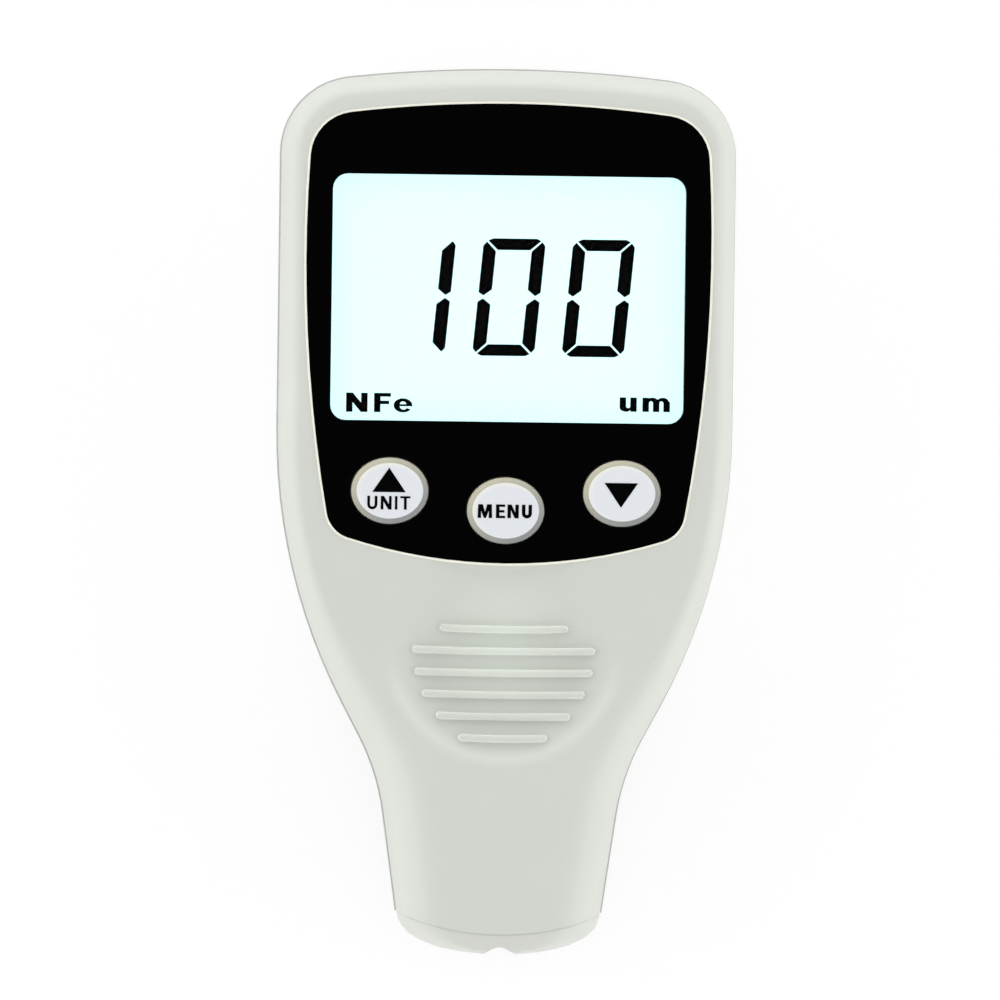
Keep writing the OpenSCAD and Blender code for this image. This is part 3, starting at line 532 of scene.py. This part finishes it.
def bead_tree():
    """A round section swept along an outline."""
    tree = bpy.data.node_groups.new("bead_sweep", "GeometryNodeTree")
    ends = tree.interface
    ends.new_socket("Outline", in_out="INPUT", socket_type="NodeSocketGeometry")
    ends.new_socket("Bead Radius", in_out="INPUT", socket_type="NodeSocketFloat")
    ends.new_socket("Finish", in_out="INPUT", socket_type="NodeSocketMaterial")
    ends.new_socket("Bead", in_out="OUTPUT", socket_type="NodeSocketGeometry")
    given = tree.nodes.new("NodeGroupInput")
    path = tree.nodes.new("GeometryNodeMeshToCurve")
    section = tree.nodes.new("GeometryNodeCurvePrimitiveCircle")
    section.inputs["Resolution"].default_value = BEAD_SIDES
    sweep = tree.nodes.new("GeometryNodeCurveToMesh")
    sweep.inputs["Fill Caps"].default_value = True
    smooth = tree.nodes.new("GeometryNodeSetShadeSmooth")
    real = tree.nodes.new("GeometryNodeRealizeInstances")
    paint = tree.nodes.new("GeometryNodeSetMaterial")
    result = tree.nodes.new("NodeGroupOutput")
    wires = (
        (given.outputs["Outline"], path.inputs[0]),
        (given.outputs["Bead Radius"], section.inputs["Radius"]),
        (path.outputs[0], sweep.inputs["Curve"]),
        (section.outputs["Curve"], sweep.inputs["Profile Curve"]),
        (sweep.outputs[0], smooth.inputs[0]),
        (smooth.outputs[0], real.inputs[0]),
        (real.outputs[0], paint.inputs["Geometry"]),
        (given.outputs["Finish"], paint.inputs["Material"]),
        (paint.outputs[0], result.inputs["Bead"]),
    )
    for start, end in wires:
        tree.links.new(start, end)
    return tree


bead_sweep = bead_tree()


def opened(node):
    """A CAD node's joined triangles, open for reading; the caller frees them."""
    mesh = joined(node, "opened")
    shape = bmesh.new()
    shape.from_mesh(mesh)
    bpy.data.meshes.remove(mesh)
    return shape


def longest(lines):
    return max(lines, key=lambda line: sum((a - b).length for a, b in zip(line, line[1:])))


def cut_loop(node, on_cut):
    """The longest loop round a node's cut face; on_cut says whether a point lies on the cut."""
    shape = opened(node)
    cut = {v for v in shape.verts if on_cut(v.co / MM)}
    rim = [e for e in shape.edges
           if cut.issuperset(e.verts) and sum(cut.issuperset(f.verts) for f in e.link_faces) == 1]
    loops = []
    while rim:
        edge = rim.pop()
        loop = [edge.verts[0], edge.verts[1]]
        while loop[-1] is not loop[0]:
            step = next(e for e in rim if loop[-1] in e.verts)
            rim.remove(step)
            loop.append(step.other_vert(loop[-1]))
        loops.append([v.co / MM for v in loop])
    shape.free()
    return longest(loops)[:-1]


def wall_path(node, z):
    """The longest run of a node's outside at one height, less what faces the nose."""
    shape = opened(node)
    whole = shape.verts[:] + shape.edges[:] + shape.faces[:]
    cut = bmesh.ops.bisect_plane(shape, geom=whole, plane_co=(0, 0, z * MM), plane_no=(0, 0, 1))
    steps = {}
    for edge in cut["geom_cut"]:
        if isinstance(edge, bmesh.types.BMEdge) and edge.link_faces:
            out = sum((f.normal for f in edge.link_faces), Vector()).normalized()
            start, end = edge.verts
            if out.xy.dot(start.co.xy + end.co.xy) > 0 and out.y > -NOSE_FACING:
                steps.setdefault(start, []).append(end)
                steps.setdefault(end, []).append(start)
    paths = []
    while steps:
        spot = min(steps, key=lambda v: (len(steps[v]), v.index))
        path = []
        while spot:
            path.append(spot.co / MM)
            ahead = [v for v in steps.pop(spot) if v in steps]
            spot = ahead[0] if ahead else None
        paths.append(path)
    shape.free()
    return longest(paths)


def bead(name, loop, radius, finish, closed=True):
    """A round bead along a loop or, where it isn't closed, along a line."""
    count = len(loop)
    mesh = bpy.data.meshes.new(name)
    joints = [(i, (i + 1) % count) for i in range(count if closed else count - 1)]
    mesh.from_pydata([p * MM for p in loop], joints, [])
    piece = add_piece(name, mesh)
    sweep = piece.modifiers.new("sweep", "NODES")
    sweep.node_group = bead_sweep
    sizes = {"Bead Radius": radius * MM, "Finish": finish}
    for item in bead_sweep.interface.items_tree:
        if item.in_out == "INPUT" and item.name in sizes:
            sweep[item.identifier] = sizes[item.name]
    piece = add_piece(name, plain_mesh(piece, name))
    settle(piece, "body", "case_plastic")


def grown(loop, step, z, closed=True):
    """A flat loop moved outwards by a step, at a height of its own."""
    middle = sum((p.xy for p in loop), Vector((0, 0))) / len(loop)
    behind = (loop[-1:] if closed else loop[:1]) + loop[:-1]
    ahead = loop[1:] + (loop[:1] if closed else loop[-1:])
    moved = []
    for before, point, after in zip(behind, loop, ahead):
        along = (after - before).xy.normalized()
        out = Vector((along.y, -along.x))
        if out.dot(point.xy - middle) < 0:
            out = -out
        moved.append(Vector((*(point.xy + out * step), z)))
    return moved


# The pale bead round the panel, most of it sunk in the face: a painted highlight along the rim of the panel's
# recess
FACE_Z = 27.0
BEAD_R = 0.13
BEAD_SUNK = 0.06
BEAD_OUT = 0.11
PANEL_TOP_NEAR = 0.001
panel_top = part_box("face_panel")[1].z / MM
panel_loop = cut_loop("face_panel", lambda p: abs(p.z - panel_top) < PANEL_TOP_NEAR)
bead("panel_highlight_bead", grown(panel_loop, BEAD_OUT, FACE_Z - BEAD_SUNK), BEAD_R, rim_highlight)

# The seam where the nose collar meets the shells, along the arc of the collar's edge: a bead in the gap, a
# little darker than the case, as painted shade for a soft seam line
SEAM_MIDDLE = Vector((0, -18.3))
SEAM_R = 32.1
SEAM_NEAR = 0.03
SEAM_HALF = 0.05
SEAM_BEAD_R = 0.13
SEAM_SUNK = 0.13
AXIS_Z = 13.85


def under_skin(point):
    """A point on the collar's rim moved into the gap and below the skin."""
    inward = Vector((-point.x, 0, AXIS_Z - point.z)).normalized()
    return point + inward * SEAM_SUNK + Vector((0, SEAM_HALF, 0))


seam_loop = cut_loop("probe_collar", lambda p: abs((p.xy - SEAM_MIDDLE).length - SEAM_R) < SEAM_NEAR)
bead("nose_seam", [under_skin(p) for p in seam_loop], SEAM_BEAD_R, seam_shade)

# A grey bead in the groove of the shells' seam, standing a little proud: painted shade for a dark line along
# the seam and round the outline
SEAM_SHADOW_R = 0.24
SEAM_SHADOW_SUNK = 0.05
SEAM_SHADOW_OVER = 0.3
shell_path = wall_path("front_housing", AXIS_Z + SEAM_SHADOW_OVER)
shell_line = grown(shell_path, -SEAM_SHADOW_SUNK, AXIS_Z, closed=False)
bead("shell_seam_shadow", shell_line, SEAM_SHADOW_R, seam_shadow_grey, closed=False)


# Keys: oval caps with a bevelled rim and a flat face
KEY_POINTS = 72
KEY_FLANGE = 0.9
KEY_FLANGE_T = 0.8
KEY_FACE = (0.98, 0.93, 0.82, 0.65, 0.4, 0.12)
KEY_LIGHT = math.radians(-35)
KEY_CREASE = 40
KEY_RIM = (
    (0.0, 0.0), (0.02, 0.1), (0.08, 0.21), (0.18, 0.32),
    (0.31, 0.42), (0.45, 0.49), (0.57, 0.53), (0.66, 0.545),
)


def key_cap(node, name):
    """A key built up from oval rings; gives its middle in millimetres and its top in metres."""
    low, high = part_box(node)
    middle = (low + high) / 2
    half = (high - low) / 2 / MM
    across, along = half.x - KEY_FLANGE, half.y - KEY_FLANGE
    rim_z = high.z / MM - KEY_RIM[-1][1]
    flange_z = low.z / MM + KEY_FLANGE_T
    rings = [(KEY_FLANGE, low.z / MM, 1), (KEY_FLANGE, flange_z, 1), (0, flange_z, 1)]
    rings += [(-inset, rim_z + rise, 1) for inset, rise in KEY_RIM]
    rings += [(-KEY_RIM[-1][0], high.z / MM, share) for share in KEY_FACE]
    shape = bmesh.new()
    near = shape.verts.layers.float.new("near_rim")
    # How far each point turns towards the light, for the keys' painted highlight and shade
    side = shape.verts.layers.float.new("turn_to_light")
    loops = []
    for grow, z, share in rings:
        loop = []
        for i in range(KEY_POINTS):
            turn = 2 * math.pi * i / KEY_POINTS
            vertex = shape.verts.new((
                middle.x + (across + grow) * share * MM * math.sin(turn),
                middle.y + (along + grow) * share * MM * math.cos(turn),
                z * MM))
            vertex[near] = (1 + grow / across) * share
            vertex[side] = math.cos(turn - KEY_LIGHT)
            loop.append(vertex)
        loops.append(loop)
    for lower, upper in zip(loops, loops[1:]):
        for i in range(KEY_POINTS):
            k = (i + 1) % KEY_POINTS
            shape.faces.new((lower[i], lower[k], upper[k], upper[i]))
    for loop in (loops[0], loops[-1]):
        shape.faces.new(loop)
    bmesh.ops.recalc_face_normals(shape, faces=shape.faces)
    for face in shape.faces:
        face.smooth = True
    mesh = bpy.data.meshes.new(name)
    shape.to_mesh(mesh)
    shape.free()
    mesh.set_sharp_from_angle(angle=math.radians(KEY_CREASE))
    piece = add_piece(name, mesh, key_white)
    settle(piece, node, "key_plastic", node)
    return middle.x / MM, middle.y / MM, high.z


# Flat print: letters, marks and segments as thin raised ink
INK_T = 0.02


def print_polygons(name, polygons, height, finish):
    """Outlines in millimetres, raised by the ink's thickness from a height in metres."""
    shape = bmesh.new()
    for polygon in polygons:
        foot = [shape.verts.new((x * MM, y * MM, height)) for x, y in polygon]
        crown = [shape.verts.new((x * MM, y * MM, height + INK_T * MM)) for x, y in polygon]
        shape.faces.new(foot)
        shape.faces.new(crown)
        for i in range(len(polygon)):
            k = (i + 1) % len(polygon)
            shape.faces.new((foot[i], foot[k], crown[k], crown[i]))
    bmesh.ops.recalc_face_normals(shape, faces=shape.faces)
    mesh = bpy.data.meshes.new(name)
    shape.to_mesh(mesh)
    shape.free()
    return add_piece(name, mesh, finish)


def arc(middle, size, start, end, steps=10):
    """Points along an ellipse from one angle to another, in degrees."""
    turns = [math.radians(start + (end - start) * i / steps) for i in range(steps + 1)]
    return [(middle[0] + size[0] * math.cos(t), middle[1] + size[1] * math.sin(t)) for t in turns]


# Letters as outlines, from their width, height and stroke
def cap_u(w, h, s):
    r = w / 2
    return [[(0, h), *arc((r, r), (r, r), 180, 360), (w, h), (w - s, h),
             *arc((r, r), (r - s, r - s), 360, 180), (s, h)]]


def cap_n(w, h, s, shoulder, dip):
    return [[(0, 0), (0, h), (shoulder, h), (w - s, dip), (w - s, h), (w, h),
             (w, 0), (w - shoulder, 0), (s, h - dip), (s, 0)]]


def cap_i(w, h):
    return [[(0, 0), (0, h), (w, h), (w, 0)]]


def cap_t(w, h, s, bar):
    a, b = (w - s) / 2, (w + s) / 2
    return [[(0, h), (w, h), (w, h - bar), (b, h - bar), (b, 0), (a, 0), (a, h - bar), (0, h - bar)]]


def cap_m(w, h, s):
    left = [(0.35 * w, h), (0.03 * w, h), (0, 0), (s, 0), (0.23 * w, 0.54 * h), (0.43 * w, 0)]
    right = [(w - x, y) for x, y in left]
    return [[(0.5 * w, 0.44 * h), *left, *right[::-1]]]


def cap_e(w, h, s, bar):
    high, low = (h + bar) / 2, (h - bar) / 2
    return [[(0, 0), (0, h), (w, h), (w, h - bar), (s, h - bar), (s, high), (0.92 * w, high), (0.92 * w, low),
             (s, low), (s, bar), (w, bar), (w, 0)]]


def wide_f(w, h, s):
    return [[(0, 0), (0, h), (w, h), (w, 0.81 * h), (s, 0.81 * h), (s, 0.6 * h), (0.9 * w, 0.6 * h),
             (0.9 * w, 0.42 * h), (s, 0.42 * h), (s, 0)]]


def wide_e(w, h, s):
    """The small letter in two pieces that meet at the top of its crossbar."""
    middle, size = (w / 2, h / 2), (w / 2, h / 2)
    bar_top, bar_low = 0.58 * h, 0.44 * h
    lift = math.degrees(math.asin((bar_top - h / 2) / (h / 2)))
    drop = math.degrees(math.asin((bar_low - h / 2) / (h / 2)))
    upper = arc(middle, size, lift, 180 - lift) + arc((w / 2, bar_top), (w / 2 - s, 0.2 * h), 180, 0)
    lower = arc(middle, size, 180 - lift, 325) + arc((0.53 * w, bar_low), (0.53 * w - s, 0.24 * h), 330, 180)
    return [upper, lower + arc(middle, size, drop, lift, 2)]


def wide_u(w, h, s):
    return [[(0, h), *arc((0.37 * w, 0.3 * h), (0.37 * w, 0.31 * h), 180, 295), (w - s, 0.12 * h), (w - s, 0),
             (w, 0), (w, h), (w - s, h), *arc((w / 2, 0.38 * h), (w / 2 - s, 0.13 * h), 360, 180), (s, h)]]


def wide_m(w, h, s):
    gap = (w - 3 * s) / 2
    post = s + gap
    rise = 0.69 * h
    crown = (0.62 * s + gap * 0.5, 0.32 * h)
    arches = [arc((k * post + s + gap * 0.85, rise), crown, start, end)
              for k, start, end in ((0, 128, 35), (1, 140, 0))]
    notches = [arc((k * post + s + gap / 2, 0.62 * h), (gap / 2, 0.13 * h), 0, 180) for k in (1, 0)]
    feet = [[(k * post + s, 0), (k * post, 0)] for k in (2, 1)]
    return [[(0, 0), (0, h), (s, h), *arches[0], *arches[1][:-1], (w, rise), *feet[0], *notches[0], *feet[1],
             *notches[1], (s, 0)]]


def print_word(name, letters, middle, height, finish):
    """Letters, each with its distance from the first one's left edge, round a middle."""
    polygons = [[(x + x0, y) for x, y in polygon] for x0, letter in letters for polygon in letter]
    xs = [x for polygon in polygons for x, _ in polygon]
    ys = [y for polygon in polygons for _, y in polygon]
    dx = middle[0] - (min(xs) + max(xs)) / 2
    dy = middle[1] - (min(ys) + max(ys)) / 2
    return print_polygons(name, [[(x + dx, y + dy) for x, y in p] for p in polygons], height, finish)


up_x, up_y, key_z = key_cap("key_up", "up_cap")
menu_x, menu_y, _ = key_cap("key_menu", "menu_cap")
down_x, down_y, _ = key_cap("key_down", "down_cap")

# Marks and words on the keys, all a little to the left of the keys' middles
MARK_LEFT = 0.1
MARK_HALF = 1.99
UP_TIP = 2.74
UP_FOOT = -0.16
DOWN_TIP = -1.67
DOWN_FOOT = 1.26


def arrow(x, y, tip, foot):
    x -= MARK_LEFT
    return [(x, y + tip), (x - MARK_HALF, y + foot), (x + MARK_HALF, y + foot)]


up_mark = print_polygons("up_mark", [arrow(up_x, up_y, UP_TIP, UP_FOOT)], key_z, legend_ink)
settle(up_mark, "key_up", "key_plastic")
down_mark = print_polygons("down_mark", [arrow(down_x, down_y, DOWN_TIP, DOWN_FOOT)], key_z, legend_ink)
settle(down_mark, "key_down", "key_plastic")

UNIT_H = 1.6
UNIT_STROKE = 0.32
UNIT_DROP = 1.43
unit_word = print_word("unit_word", [
    (0, cap_u(1.2, UNIT_H, UNIT_STROKE)), (1.6, cap_n(1.29, UNIT_H, UNIT_STROKE, 0.38, 0.62)),
    (3.28, cap_i(0.3, UNIT_H)), (3.92, cap_t(1.2, UNIT_H, UNIT_STROKE, 0.24)),
], (up_x - MARK_LEFT, up_y - UNIT_DROP), key_z, legend_ink)
settle(unit_word, "key_up", "key_plastic")

MENU_H = 1.62
MENU_STROKE = 0.41
MENU_DROP = 0.07
menu_word = print_word("menu_word", [
    (0, cap_m(1.72, MENU_H, MENU_STROKE)), (2.17, cap_e(1.09, MENU_H, MENU_STROKE, 0.28)),
    (3.54, cap_n(1.34, MENU_H, MENU_STROKE, 0.48, 0.66)), (5.26, cap_u(1.19, MENU_H, MENU_STROKE)),
], (menu_x - MARK_LEFT, menu_y - MENU_DROP), key_z, legend_ink)
settle(menu_word, "key_menu", "key_plastic")


# Display: seven-segment digits, the type sign and the unit
DIGIT_SLANT = math.tan(math.radians(5.2))
DIGIT_Y = 25.58
DIGIT_X = (-10.55, 0.13, 10.78)

# Half of a digit's top bar and its upper right post, from the digit's middle
HALF_BAR = [(2.62, 6.99), (3.15, 6.73), (1.93, 5.62)]
POST = [(3.3, 6.6), (3.7, 6.11), (3.7, 0.574), (3.083, 0.17), (2.125, 0.9), (2.125, 5.46)]


def flipped(points, across, along):
    return [(x * across, y * along) for x, y in points]


BAR = HALF_BAR + flipped(HALF_BAR, -1, 1)[::-1]
ONE = [POST, flipped(POST, 1, -1)]
ZERO = ONE + [flipped(post, -1, 1) for post in ONE] + [BAR, flipped(BAR, 1, -1)]
display_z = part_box("display_glass")[1].z
for index, (segments, x0) in enumerate(zip((ONE, ZERO, ZERO), DIGIT_X)):
    laid = [[(x0 + x + y * DIGIT_SLANT, DIGIT_Y + y) for x, y in segment] for segment in segments]
    digit = print_polygons("digit_%d" % (index + 1), laid, display_z, segment_ink)
    settle(digit, "body", "display_glass")

TYPE_H = 2.29
TYPE_STROKE = 0.77
SMALL_H = 1.69
SMALL_STROKE = 0.74
TYPE_PLACE = (-15.15, 12.85)
UNIT_PLACE = (16.46, 13.0)
type_sign = print_word("type_sign", [
    (0, cap_n(2.56, TYPE_H, TYPE_STROKE, 0.8, 1.12)), (3.33, wide_f(2.0, TYPE_H, TYPE_STROKE)),
    (5.66, wide_e(2.24, SMALL_H, SMALL_STROKE)),
], TYPE_PLACE, display_z, segment_ink)
settle(type_sign, "body", "display_glass")
unit_sign = print_word("unit_sign", [
    (0, wide_u(2.04, SMALL_H, TYPE_STROKE)), (2.72, wide_m(3.27, SMALL_H, TYPE_STROKE)),
], UNIT_PLACE, display_z, segment_ink)
settle(unit_sign, "body", "display_glass")


# Floor, sky and lamps
FLOOR_HALF = 4.0
FLOOR_Z = -0.05 * MM
FLOOR_GREY = 0.28
FLOOR_GLOW = 0.76
LAMP_SIZE = 0.5


def backdrop_share(f):
    """1 where the backdrop is seen, straight, mirrored or through glass, 0 where it only lights."""
    path = f.node("ShaderNodeLightPath").socket.node
    rays = ("Is Camera Ray", "Is Glossy Ray", "Is Transmission Ray")
    straight, mirrored, through = [Wire(f, path.outputs[ray]) for ray in rays]
    return straight.most(mirrored).most(through)


def pale_floor():
    """A floor that takes shadows and looks white."""
    f = Finish("floor_pale")
    paper = f.node("ShaderNodeBsdfDiffuse", sockets={"Color": (FLOOR_GREY, FLOOR_GREY, FLOOR_GREY, 1)})
    glow = f.node("ShaderNodeEmission", sockets={
        "Color": (1, 1, 1, 1), "Strength": FLOOR_GLOW * backdrop_share(f)})
    both = f.node("ShaderNodeAddShader", sockets={0: paper, 1: glow})
    f.node("ShaderNodeOutputMaterial", sockets={"Surface": both})
    return f.material


floor_mesh = bpy.data.meshes.new("floor")
floor_corners = [(x * FLOOR_HALF, y * FLOOR_HALF, FLOOR_Z) for x, y in ((-1, -1), (1, -1), (1, 1), (-1, 1))]
floor_mesh.from_pydata(floor_corners, [], [(0, 1, 2, 3)])
add_piece("floor", floor_mesh, pale_floor())

SKY_ZENITH = 0.3
SKY_RISE = 3.75
SKY_BEND = 2.0
SKY_LEAN = (-0.02, 0.03)
world = bpy.data.worlds.new("tent")
SCENE.world = world
world.use_nodes = True
sky = Finish("tent", world.node_tree)
split = sky.node("ShaderNodeSeparateXYZ", sockets={0: sky.node("ShaderNodeTexCoord", out="Generated")})
east, north, height = [Wire(sky, split.socket.node.outputs[i]) for i in range(3)]
lean = 1 + SKY_LEAN[0] * east + SKY_LEAN[1] * north
level = SKY_ZENITH + SKY_RISE * (1 - height).least(1.0) ** SKY_BEND * lean
glow = sky.node("ShaderNodeBackground", sockets={"Color": (1, 1, 1, 1), "Strength": level})
white = sky.node("ShaderNodeBackground", sockets={"Color": (1, 1, 1, 1), "Strength": 1.0})
mixed = sky.node("ShaderNodeMixShader", sockets={0: backdrop_share(sky), 1: glow, 2: white})
sky.node("ShaderNodeOutputWorld", sockets={"Surface": mixed})


def softbox(name, place, power):
    """A square lamp that faces the object; its place is in metres."""
    lamp = bpy.data.lights.new(name, "AREA")
    lamp.shape = "SQUARE"
    lamp.size = LAMP_SIZE
    lamp.energy = power
    piece = bpy.data.objects.new(name, lamp)
    SCENE.collection.objects.link(piece)
    piece.location = place
    piece.rotation_euler = (-Vector(place)).to_track_quat("-Z", "Y").to_euler()


softbox("lamp_top", (-0.15, 0.95, 0.35), 0.6)
softbox("lamp_left", (-0.9, 0.1, 0.4), 0.3)
softbox("lamp_right", (0.9, -0.1, 0.4), 0.5)
